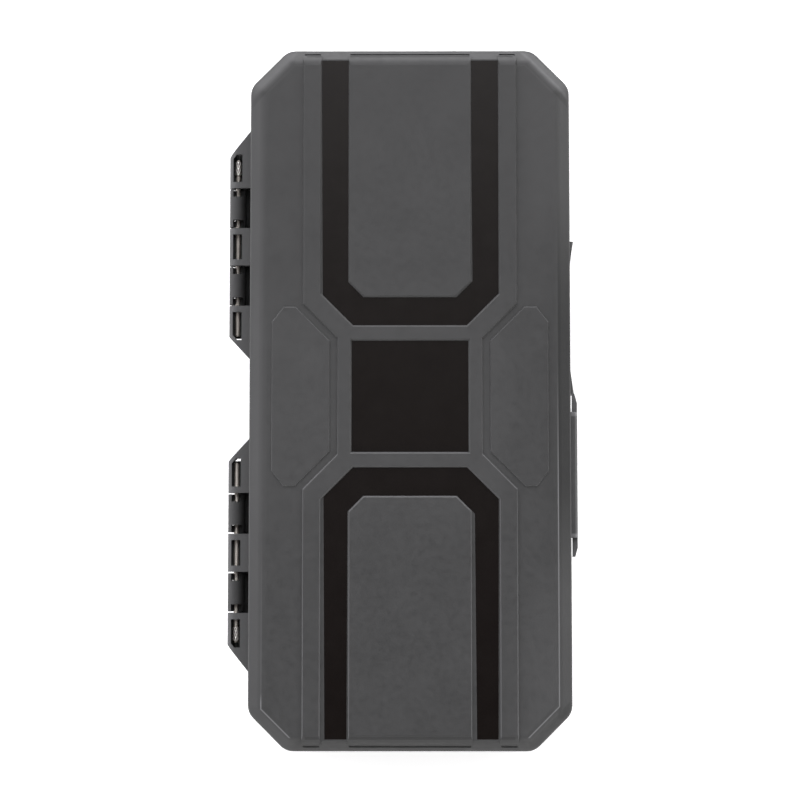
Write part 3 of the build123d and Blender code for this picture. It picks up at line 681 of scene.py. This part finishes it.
finishes["pin"] = pin_finish()

# %% [markdown]
# ## Inside: boards, magnet and rails
#
# The boards are matt sheet, and thin printed lines part it into lanes, one for each pair of pegs,
# so that a rig can be laid straight. They lie between the long rail and the magnet, so their ends
# come from those boxes. Lines could be an image, but they are simpler as a distance: a ping-pong of
# x goes up and down between 0 and half a pitch, which is the distance to the nearest line, for all
# of them at once. The magnet is a dull brown-black rubbery strip, and the rails are a paler
# moulding.

# %% Inner finishes
PEG_PITCH = 10.0 * MM
SHEET_DARK, SHEET_PALE = (0.028, 0.030, 0.032), (0.040, 0.042, 0.044)
LINE_TONE = (0.22, 0.23, 0.23)
LINE_EDGE = (0.16 * MM, 0.11 * MM)
_, rail_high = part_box("base_long_peg_rail")
magnet_low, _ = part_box("base_magnet_strip")
LANES_SIDE = (rail_high[0] - 5.0 * MM, rail_high[0] - 5.2 * MM)
LANES_NEAR_END = (rail_high[1] + 3.0 * MM, rail_high[1] + 3.3 * MM)
LANES_FAR_END = (magnet_low[1] - 7.0 * MM, magnet_low[1] - 7.3 * MM)
PEBBLE_SIZE, PEBBLE_DEPTH = 0.35 * MM, 0.02 * MM
SHEET_CLOUD_SIZE = 9 * MM
SHEET_ROUGHNESS, PEBBLE_ROUGHNESS = 0.62, 0.12
RUBBER_DARK, RUBBER_PALE = (0.020, 0.015, 0.013), (0.045, 0.036, 0.031)
SPECK_SIZE, SPECK_DEPTH = 0.3 * MM, 0.02 * MM
RUBBER_ROUGHNESS, SPECK_ROUGHNESS = 0.7, 0.2
RAIL_TONE = (0.07, 0.074, 0.064)
RAIL_GRAIN_DEPTH = 0.006 * MM


def board_finish():
    """Matt dark sheet with thin pale lines between its lanes."""
    finish = Finish("board_sheet", Specular_IOR_Level=0.4)
    point, (x, y, _) = finish.place()
    pebble = finish.noise(point, PEBBLE_SIZE, 2.0)
    cloud = finish.noise(point, SHEET_CLOUD_SIZE, 3.0)
    sheet = finish.blend(cloud, SHEET_DARK, SHEET_PALE)
    line = x.to_nearest(PEG_PITCH).rise(*LINE_EDGE) * abs(x).rise(*LANES_SIDE)
    line = line * y.rise(*LANES_NEAR_END) * y.rise(*LANES_FAR_END)
    finish.feed(
        Base_Color=finish.blend(line, sheet, LINE_TONE),
        Roughness=SHEET_ROUGHNESS + PEBBLE_ROUGHNESS * pebble,
    )
    finish.bump(pebble, PEBBLE_DEPTH)
    return finish.done()


def rubber_finish():
    """Magnetic rubber: brown-black, speckled with the powder that it is filled with."""
    finish = Finish("magnet_rubber", Specular_IOR_Level=0.35)
    point, _ = finish.place()
    speck = finish.noise(point, SPECK_SIZE, 3.0, 0.7)
    colour = finish.blend(speck, RUBBER_DARK, RUBBER_PALE)
    finish.feed(Base_Color=colour, Roughness=RUBBER_ROUGHNESS + SPECK_ROUGHNESS * speck)
    finish.bump(speck, SPECK_DEPTH)
    return finish.done()


def rail_finish():
    """The rails' paler plastic, with a shallower grain than the case."""
    finish = Plastic("rail_plastic", RAIL_TONE)
    finish.feed(Base_Color=finish.colour, Roughness=finish.roughness)
    finish.bump(finish.grain, RAIL_GRAIN_DEPTH)
    return finish.done()


finishes["board"] = board_finish()
finishes["strip"] = rubber_finish()
finishes["rail"] = rail_finish()

# %% [markdown]
# ## Dressing the CAD nodes
#
# Each CAD node takes the finish of its kind by the last word of its name. Lid and base are both
# shells, so the lid is dressed once more with its own.

# %% Finishes on the CAD nodes
def dress(piece, material):
    """Puts one material on a piece, whatever slots it came with."""
    piece.data.materials.clear()
    piece.data.materials.append(material)


for name, node in frame["nodes"].items():
    dress(node, finishes[name.split("_")[-1]])
dress(frame["nodes"]["lid_shell"], lid_material)
print("dressed", len(frame["nodes"]), "CAD nodes")

# %% [markdown]
# ## Turned pieces
#
# A pin, a peg and a screw are all made on a lathe, so each is one profile turned about its own line.
# The profile is a list of radii and heights. Carrying it round the line as one numpy array gives
# the whole surface at once, and the radius may still change with the angle, which is all that a
# knurl or a six-sided socket needs. A modifier could turn the profile too, but it couldn't do that.

# %% Turned surfaces
def rounded_profile(points, radii, steps=5):
    """A profile through points whose corners are rounded, each by its own radius.

    At a corner the curve leaves one side and joins the next on a parabola: it is the blend
    (1 - t)^2 of the start, 2t(1 - t) of the corner and t^2 of the end."""
    points = np.array(points, float)
    t = np.linspace(0, 1, steps)[:, None]
    lines = [points[:1]]
    for before, corner, after, radius in zip(points, points[1:], points[2:], radii):
        start = corner + (before - corner) / np.linalg.norm(before - corner) * radius
        end = corner + (after - corner) / np.linalg.norm(after - corner) * radius
        lines.append((1 - t) ** 2 * start + 2 * t * (1 - t) * corner + t**2 * end)
    lines.append(points[-1:])
    return np.concatenate(lines)


def turned_surface(radius, height, sides):
    """Vertices and faces of a closed turned piece.

    Its radius and height are arrays with one row for each profile point and one column for each
    angle, or one column for all. The point is radius times (cos angle, sin angle), at its height.
    Both ends of the profile lie on the line, so each end is one vertex and closes with triangles."""
    angle = np.arange(sides) * 2 * np.pi / sides
    radius, height = (np.broadcast_to(grid, (len(grid), sides)) for grid in (radius, height))
    rings = np.stack((radius * np.cos(angle), radius * np.sin(angle), height), axis=-1)[1:-1]
    poles = np.array([(0, 0, height[0, 0]), (0, 0, height[-1, 0])])
    vertices = np.concatenate((rings.reshape(-1, 3), poles))
    row, column = np.meshgrid(np.arange(len(rings) - 1), np.arange(sides), indexing="ij")
    here, there = row * sides + column, row * sides + (column + 1) % sides
    walls = np.stack((here, there, there + sides, here + sides), axis=-1).reshape(-1, 4)
    around = np.arange(sides)
    following = (around + 1) % sides
    first_pole, last_pole = len(vertices) - 2, len(vertices) - 1
    last_ring = (len(rings) - 1) * sides
    foot = np.stack((following, around, np.full(sides, first_pole)), axis=-1)
    crown = np.stack((last_ring + around, last_ring + following, np.full(sides, last_pole)), axis=-1)
    return vertices, [*walls.tolist(), *foot.tolist(), *crown.tolist()]


def varied_surface(profile, radii, levels, sides):
    """A turned surface whose plain profile goes on with rows of radii that change round the piece."""
    radius = np.concatenate((np.repeat(profile[:, :1], sides, 1), radii))
    height = np.concatenate((profile[:, 1], levels))[:, None]
    return turned_surface(radius, height, sides)


# %% [markdown]
# ## From arrays to pieces
#
# Every piece that this file makes is a mesh at the origin, with its places written into its own
# vertices, so that it turns with its body about the same axes as the CAD nodes. A turned piece is
# smooth except at its sharp edges, takes the place of its plain CAD node, and rides on the same
# body. Pegs and screws come in groups, so one surface is copied to many places in a single mesh.

# %% Pieces
SHARP_EDGE = math.radians(40)
bodies = frame["record"]["behaviour"]["bodies"]
body_of = {node: body for body, nodes in bodies.items() for node in nodes}


def add_mesh(name, vertices, faces, material):
    """A mesh object at the origin with one material, linked into the scene."""
    mesh = bpy.data.meshes.new(name)
    mesh.from_pydata(vertices, [], faces)
    piece = bpy.data.objects.new(name, mesh)
    bpy.context.scene.collection.objects.link(piece)
    dress(piece, material)
    print(name, "has", len(mesh.polygons), "faces")
    return piece


def make_piece(name, vertices, faces, material, body, node):
    """A turned piece: smooth except at sharp edges, riding on a body in place of a CAD node."""
    piece = add_mesh(name, vertices.tolist(), faces, material)
    piece.data.validate()
    piece.data.polygons.foreach_set("use_smooth", np.ones(len(piece.data.polygons), bool))
    piece.data.set_sharp_from_angle(angle=SHARP_EDGE)
    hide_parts(node)
    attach(piece, body)


def standing(vertices, foot, up):
    """A surface stood on a foot height and pointing up (1) or down (-1).

    Pointing down is a half turn about x, so the faces stay outwards."""
    return vertices * (1, up, up) + (0, 0, foot)


def set_out(vertices, faces, places):
    """Copies of one surface at many places, as a single list of vertices and of faces."""
    places = np.array(places, float)
    every = (vertices[None] + places[:, None]).reshape(-1, 3)
    steps = np.arange(len(places)) * len(vertices)
    return every, [[corner + step for corner in face] for step in steps.tolist() for face in faces]


# %% [markdown]
# ## Hinge pins with a knurled head
#
# Each hinge turns on a straight steel wire whose outer end is knurled, so that it grips its bore.
# A diamond knurl is two sets of helical ridges, one left-handed and one right-handed, and the metal
# stands highest where two ridges cross. The radius is therefore the sum of two triangle waves of
# (angle + height) and (angle - height). The ridges are about a millimetre apart.

# %% Hinge pins
KNURL_LENGTH = 5.0 * MM
KNURL_DEPTH = 0.22 * MM
KNURL_STARTS = 7
KNURL_ROWS = 5
KNURL_INSET = 0.12 * MM
POINTS_PER_RIDGE = 16
PIN_CHAMFER = 0.22 * MM


def ridge(turns):
    """A triangle wave of whole turns: 1 on each ridge and 0 in each groove."""
    return np.abs(2 * (turns % 1) - 1)


def knurled_pin(length, wire, head):
    """A pin from height 0 to its length: plain wire first, then the knurled head at its end."""
    neck = length - KNURL_LENGTH
    shaft = rounded_profile(
        [(0, 0), (wire - PIN_CHAMFER, 0), (wire, PIN_CHAMFER), (wire, neck), (head - KNURL_DEPTH, neck)],
        (0.03 * MM, 0.03 * MM, 0.1 * MM),
        4,
    )
    sides = KNURL_STARTS * POINTS_PER_RIDGE
    rows = np.linspace(neck + KNURL_INSET, length - KNURL_INSET, KNURL_ROWS * POINTS_PER_RIDGE + 1)
    along = (rows - rows[0]) / (rows[-1] - rows[0]) * KNURL_ROWS
    around = np.arange(sides) / sides * KNURL_STARTS
    crossing = (ridge(around[None] + along[:, None] / 2) + ridge(around[None] - along[:, None] / 2)) / 2
    fade = np.clip(np.minimum(along, KNURL_ROWS - along) * 2, 0, 1)[:, None]
    knurl = head - KNURL_DEPTH * (1 - crossing * fade)
    cap = np.repeat([[head - 1.6 * KNURL_DEPTH], [0]], sides, 1)
    return varied_surface(shaft, np.concatenate((knurl, cap)), (*rows, length, length), sides)


for node, side in (("upper_hinge_pin", 1), ("lower_hinge_pin", -1)):
    low, high = np.array(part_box(node))
    pin, faces = knurled_pin(high[1] - low[1], WIRE_RADIUS, HEAD_RADIUS)
    inner_end = low[1] if side > 0 else high[1]
    laid = np.stack((pin[:, 1], pin[:, 2], pin[:, 0]), axis=-1) * (side, side, 1)
    placed = laid + (PIN_X, inner_end, PIN_Z)
    make_piece(f"{node}_knurled", placed, faces, finishes["pin"], body_of[node], node)

# %% [markdown]
# ## Pegs
#
# The loop of each hooklength goes over a small steel peg. It is turned with a soft waist under its
# head, which keeps the loop from lifting off, and the head is a low dome without a sharp edge.

# %% Pegs
PEG_COUNT = 8
PEG_SIDES = 40
PEG_RADIUS = 0.75 * MM
PEG_HEAD_HEIGHT = 0.7 * MM


def peg_profile(radius, head, length, head_height):
    """A peg from its seat at height 0 to the top of its head."""
    under = length - head_height
    points = [
        (0, 0), (radius * 0.8, 0), (radius, radius * 0.2), (radius, under * 0.42),
        (radius * 0.86, under * 0.7), (radius, under), (head, under), (head, under + head_height * 0.55),
        (head * 0.62, length), (0, length),
    ]
    rounds = (0.05, 0.05, 0.6, 0.6, 0.12, 0.1, 0.24, 0.3)
    return rounded_profile(points, np.array(rounds) * MM)


def row_of(node, count):
    """The centres of a row of pegs along x, worked out from the node's box."""
    low, high = np.array(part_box(node))
    width = high[1] - low[1]
    x = np.linspace(low[0] + width / 2, high[0] - width / 2, count)
    return np.stack((x, np.full(count, (low[1] + high[1]) / 2), np.zeros(count)), axis=-1)


for half, up in (("base", 1), ("lid", -1)):
    for row in ("short", "long"):
        node = f"{half}_{row}_pegs"
        low, high = np.array(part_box(node))
        profile = peg_profile(PEG_RADIUS, (high[1] - low[1]) / 2, high[2] - low[2], PEG_HEAD_HEIGHT)
        peg, faces = turned_surface(profile[:, :1], profile[:, 1:], PEG_SIDES)
        peg = standing(peg, low[2] if up > 0 else high[2], up)
        pegs, faces = set_out(peg, faces, row_of(node, PEG_COUNT))
        make_piece(f"{node}_turned", pegs, faces, finishes["pegs"], body_of[node], node)

# %% [markdown]
# ## Board screws
#
# Four small screws with a low rounded head and a six-sided socket hold each board. The socket is
# the same turned surface, with a radius that follows the six flats: a flat's distance divided by
# the cosine of the angle from its middle.

# %% Screws
SCREW_SIDES = 72
SCREW_SHANK = 0.9 * MM
SCREW_HEAD = 2.0 * MM
SCREW_HEAD_HEIGHT = 1.1 * MM
SOCKET_FLAT = 0.72 * MM


def screw_surface(length, head, head_height):
    """A screw from its tip at height 0 to the rim of its socket, then down into the socket."""
    angle = np.arange(SCREW_SIDES) * 2 * np.pi / SCREW_SIDES
    from_flat = (angle + np.pi / 6) % (np.pi / 3) - np.pi / 6
    hexagon = SOCKET_FLAT / np.cos(from_flat)
    seat = length - head_height
    outside = rounded_profile(
        [(0, 0), (SCREW_SHANK * 0.55, 0), (SCREW_SHANK, 0.35 * MM), (SCREW_SHANK, seat), (head, seat),
         (head, seat + head_height * 0.45), (head * 0.72, length), (SOCKET_FLAT * 1.45, length)],
        np.array((0.1, 0.05, 0.05, 0.12, 0.3, 0.3)) * MM,
        6,
    )
    floor = length - head_height * 0.6
    socket = np.stack((hexagon * 1.06, hexagon, hexagon, hexagon * 0.9, hexagon * 0))
    levels = (length, length - 0.06 * MM, floor + 0.04 * MM, floor, floor - 0.08 * MM)
    return varied_surface(outside, socket, levels, SCREW_SIDES)


for half, up in (("base", 1), ("lid", -1)):
    node = f"{half}_board_screws"
    low, high = np.array(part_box(node))
    screw, faces = screw_surface(high[2] - low[2], SCREW_HEAD, SCREW_HEAD_HEIGHT)
    screw = standing(screw, low[2] if up > 0 else high[2], up)
    corners = [(x, y, 0) for x in (low[0] + SCREW_HEAD, high[0] - SCREW_HEAD)
               for y in (low[1] + SCREW_HEAD, high[1] - SCREW_HEAD)]
    screws, faces = set_out(screw, faces, corners)
    make_piece(f"{node}_socket_head", screws, faces, finishes["screws"], body_of[node], node)

# %% [markdown]
# ## Figures printed on the boards
#
# Each lane between two printed lines has a number, and each rail has its distance from the magnet
# in centimetres, so that a rig goes back to its own peg. Screen print stands a few hundredths of a
# millimetre proud, so each figure is a very thin solid: Blender's text curve, made into a mesh, and
# then moved to its place. On the lid it is turned over about the hinge's direction, so that it reads
# the right way up when the case lies open.

# %% Printed figures
GAP_TONE, INK_TONE = (0.10, 0.10, 0.10), (0.30, 0.31, 0.31)
GAP_SIZE, GAP_TO_INK = 0.25 * MM, (0.34, 0.46)
GAP_ROUGHNESS, INK_SMOOTHNESS = 0.75, 0.15
INK_THICKNESS = 0.03 * MM
FIGURE_HEIGHT = 3.4 * MM
NUMBER_Y = magnet_low[1] - 3.6 * MM
DISTANCE_INSET, DISTANCE_ABOVE = 3 * MM, 3.4 * MM


def ink_finish():
    """Pale matt ink with the small gaps that a rough sheet leaves in a print."""
    finish = Finish("printed_ink", Specular_IOR_Level=0.3)
    point, _ = finish.place()
    covered = finish.noise(point, GAP_SIZE, 3.0, 0.7).rise(*GAP_TO_INK)
    finish.feed(
        Base_Color=finish.blend(covered, GAP_TONE, INK_TONE),
        Roughness=GAP_ROUGHNESS - INK_SMOOTHNESS * covered,
    )
    return finish.done()


def figure_mesh(figure, height, thickness):
    """Vertices and faces of one printed figure, centred on the origin."""
    curve = bpy.data.curves.new("figure", "FONT")
    curve.body = figure
    curve.size = height
    curve.extrude = thickness / 2
    curve.align_x = "CENTER"
    curve.align_y = "CENTER"
    curve.resolution_u = 6
    carrier = bpy.data.objects.new("figure", curve)
    mesh = bpy.data.meshes.new_from_object(carrier)
    flat = np.empty(len(mesh.vertices) * 3)
    mesh.vertices.foreach_get("co", flat)
    faces = [list(polygon.vertices) for polygon in mesh.polygons]
    bpy.data.objects.remove(carrier)
    bpy.data.curves.remove(curve)
    bpy.data.meshes.remove(mesh)
    return flat.reshape(-1, 3), faces


def board_marks(half):
    """Each figure of one board with its x and y: a number for each lane, a distance for each rail."""
    lanes = row_of(f"{half}_short_pegs", PEG_COUNT)[:, 0]
    marks = [(str(number + 1), lane, NUMBER_Y) for number, lane in enumerate(lanes)]
    for row, distance in (("short", "10"), ("long", "15")):
        low, high = np.array(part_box(f"{half}_{row}_peg_rail"))
        marks.append((distance, high[0] - DISTANCE_INSET, high[1] + DISTANCE_ABOVE))
    return marks


ink = ink_finish()
for half, up in (("base", 1), ("lid", -1)):
    shapes, faces, count = [], [], 0
    for figure, x, y in board_marks(half):
        vertices, corners = figure_mesh(figure, FIGURE_HEIGHT, INK_THICKNESS)
        shapes.append(vertices + (x, y, 0))
        faces += [[corner + count for corner in face] for face in corners]
        count += len(vertices)
    board_low, board_high = np.array(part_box(f"{half}_peg_board"))
    face_z = board_high[2] if up > 0 else board_low[2]
    figures = np.concatenate(shapes) * (up, 1, up) + (0, 0, face_z + up * INK_THICKNESS / 2)
    printed = add_mesh(f"{half}_board_figures", figures.tolist(), faces, ink)
    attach(printed, half)

# %% [markdown]
# ## Light
#
# The case was photographed straight from above in a light tent: white all round, darker overhead
# where the camera looks in, and brightest at the far end. Lamps alone would leave hard edges in the
# gloss, and a picture of a tent would be a file to carry about. So the tent is the world's own
# light, written as a function of direction, with two faint softboxes that round the forms a little.
# The gloss inlays show the darkness overhead, and the bevel at the far end shows the bright side.

# %% Light tent
OVERHEAD, OVERHEAD_SLANT, OVERHEAD_LEAST = 0.11, 0.9, 0.02
FAR_OPENING, FAR_OPENING_Y = 0.36, (0.15, 0.26)
ALL_ROUND, ALL_ROUND_Z = 1.29, (0.75, 0.3)
FAR_WALL, FAR_WALL_Y = 2.2, (0.2, 0.8)
NEAR_WALL, NEAR_WALL_Y = 1.6, (-0.35, -0.95)
LEFT_WALL, LEFT_WALL_X = 0.4, (-0.35, -0.95)
RIGHT_WALL, RIGHT_WALL_X = 0.15, (0.35, 0.95)
WARM_WHITE, COOL_WHITE = (1.0, 0.995, 0.985), (0.975, 0.97, 1.0)
COOL_Y, COOL_X = (0.1, 0.8), (-0.1, -0.8)


def light_tent():
    """World light by direction: dim overhead, pale walls, the far wall the brightest."""
    world = bpy.data.worlds.new("light_tent")
    bpy.context.scene.world = world
    world.use_nodes = True
    recipe = Recipe(world.node_tree)
    _, (x, y, z) = recipe.place("Generated")
    overhead = (OVERHEAD + OVERHEAD_SLANT * y).most(OVERHEAD_LEAST) + FAR_OPENING * y.rise(*FAR_OPENING_Y)
    ends = FAR_WALL * y.rise(*FAR_WALL_Y) + NEAR_WALL * y.rise(*NEAR_WALL_Y)
    sides = LEFT_WALL * x.rise(*LEFT_WALL_X) + RIGHT_WALL * x.rise(*RIGHT_WALL_X)
    strength = overhead + ALL_ROUND * z.rise(*ALL_ROUND_Z) + ends + sides
    cool = (y.rise(*COOL_Y) + x.rise(*COOL_X)).least(1.0)
    colour = recipe.blend(cool, WARM_WHITE, COOL_WHITE)
    background = world.node_tree.nodes["Background"]
    world.node_tree.links.new(colour.socket, background.inputs["Color"])
    world.node_tree.links.new(strength.socket, background.inputs["Strength"])
    print("the tent is written with", len(world.node_tree.nodes), "nodes")


def softbox(name, place, size, watts):
    """A soft rectangular light at a place in metres, aimed at the case."""
    data = bpy.data.lights.new(name, "AREA")
    data.shape = "RECTANGLE"
    data.size, data.size_y = size
    data.energy = watts
    light = bpy.data.objects.new(name, data)
    light.location = place
    light.rotation_euler = (-Vector(place)).to_track_quat("-Z", "Y").to_euler()
    bpy.context.scene.collection.objects.link(light)


light_tent()
softbox("far_softbox", (-0.15, 1.1, 0.75), (1.2, 0.6), 1.0)
softbox("left_softbox", (-1.0, -0.1, 0.7), (0.8, 0.8), 0.5)

# %% [markdown]
# ## Floor
#
# The case lies on a white table that is lit through, so the picture's ground is white right up to
# the case. A little emission gives that, and the case's own shadow still shows. The sheet lies a
# hair below the case, because two surfaces at one height flicker, and it is clear from below, so
# that the underside can be looked at too.

# %% Floor
FLOOR_REACH = 2.5
FLOOR_LEVEL = -0.05 * MM
FLOOR_GLOW = 0.5
FLOOR_DARK, FLOOR_PALE = (0.90, 0.90, 0.90), (0.93, 0.93, 0.93)
MOTTLE_SIZE = 0.2


def floor_finish():
    """Plain white with the faintest mottle, glowing a little, and clear from below."""
    finish = Finish("floor_white", Specular_IOR_Level=0.2, Roughness=0.8)
    finish.shader.inputs["Emission Color"].default_value = (1.0, 1.0, 1.0, 1.0)
    finish.shader.inputs["Emission Strength"].default_value = FLOOR_GLOW
    point, _ = finish.place()
    mottle = finish.noise(point, MOTTLE_SIZE)
    from_below = finish.node("ShaderNodeNewGeometry", {}, {}, "Backfacing")
    finish.feed(Base_Color=finish.blend(mottle, FLOOR_DARK, FLOOR_PALE), Alpha=1 - from_below)
    return finish.done()


around = ((-1, -1), (1, -1), (1, 1), (-1, 1))
corners = [(side * FLOOR_REACH, end * FLOOR_REACH, FLOOR_LEVEL) for side, end in around]
floor = add_mesh("floor", corners, [(0, 1, 2, 3)], floor_finish())

# %% [markdown]
# ## Camera
#
# The camera stands a little towards the near end, about 63 cm above the lid, and looks almost
# straight down. Its lens comes from the photograph: one millimetre on the lid fills 3.3 pixels.
# Aimed so steeply, a track constraint could roll it, so its three directions are written out.

# %% Camera
CAMERA_PLACE = Vector((0.0, -47.34 * MM, 656.31 * MM))
CAMERA_AIM = Vector((-3.0 * MM, -1.2 * MM, 28.0 * MM))
PICTURE_WIDTH = 800
PIXELS_PER_RADIAN = 2100

camera_data = bpy.data.cameras.new("camera")
camera_data.sensor_width = 36.0
camera_data.lens = camera_data.sensor_width * PIXELS_PER_RADIAN / PICTURE_WIDTH
camera_data.clip_start = 0.01
camera = bpy.data.objects.new("camera", camera_data)
camera.location = CAMERA_PLACE
sight = (CAMERA_AIM - CAMERA_PLACE).normalized()
picture_right = sight.cross(Vector((0.0, 1.0, 0.0))).normalized()
picture_up = picture_right.cross(sight)
camera.rotation_euler = Matrix((picture_right, picture_up, -sight)).transposed().to_euler()
bpy.context.scene.collection.objects.link(camera)
bpy.context.scene.camera = camera
bpy.context.scene.view_settings.view_transform = "Standard"
print("the lens is", camera_data.lens, "mm on a sensor of", camera_data.sensor_width, "mm")
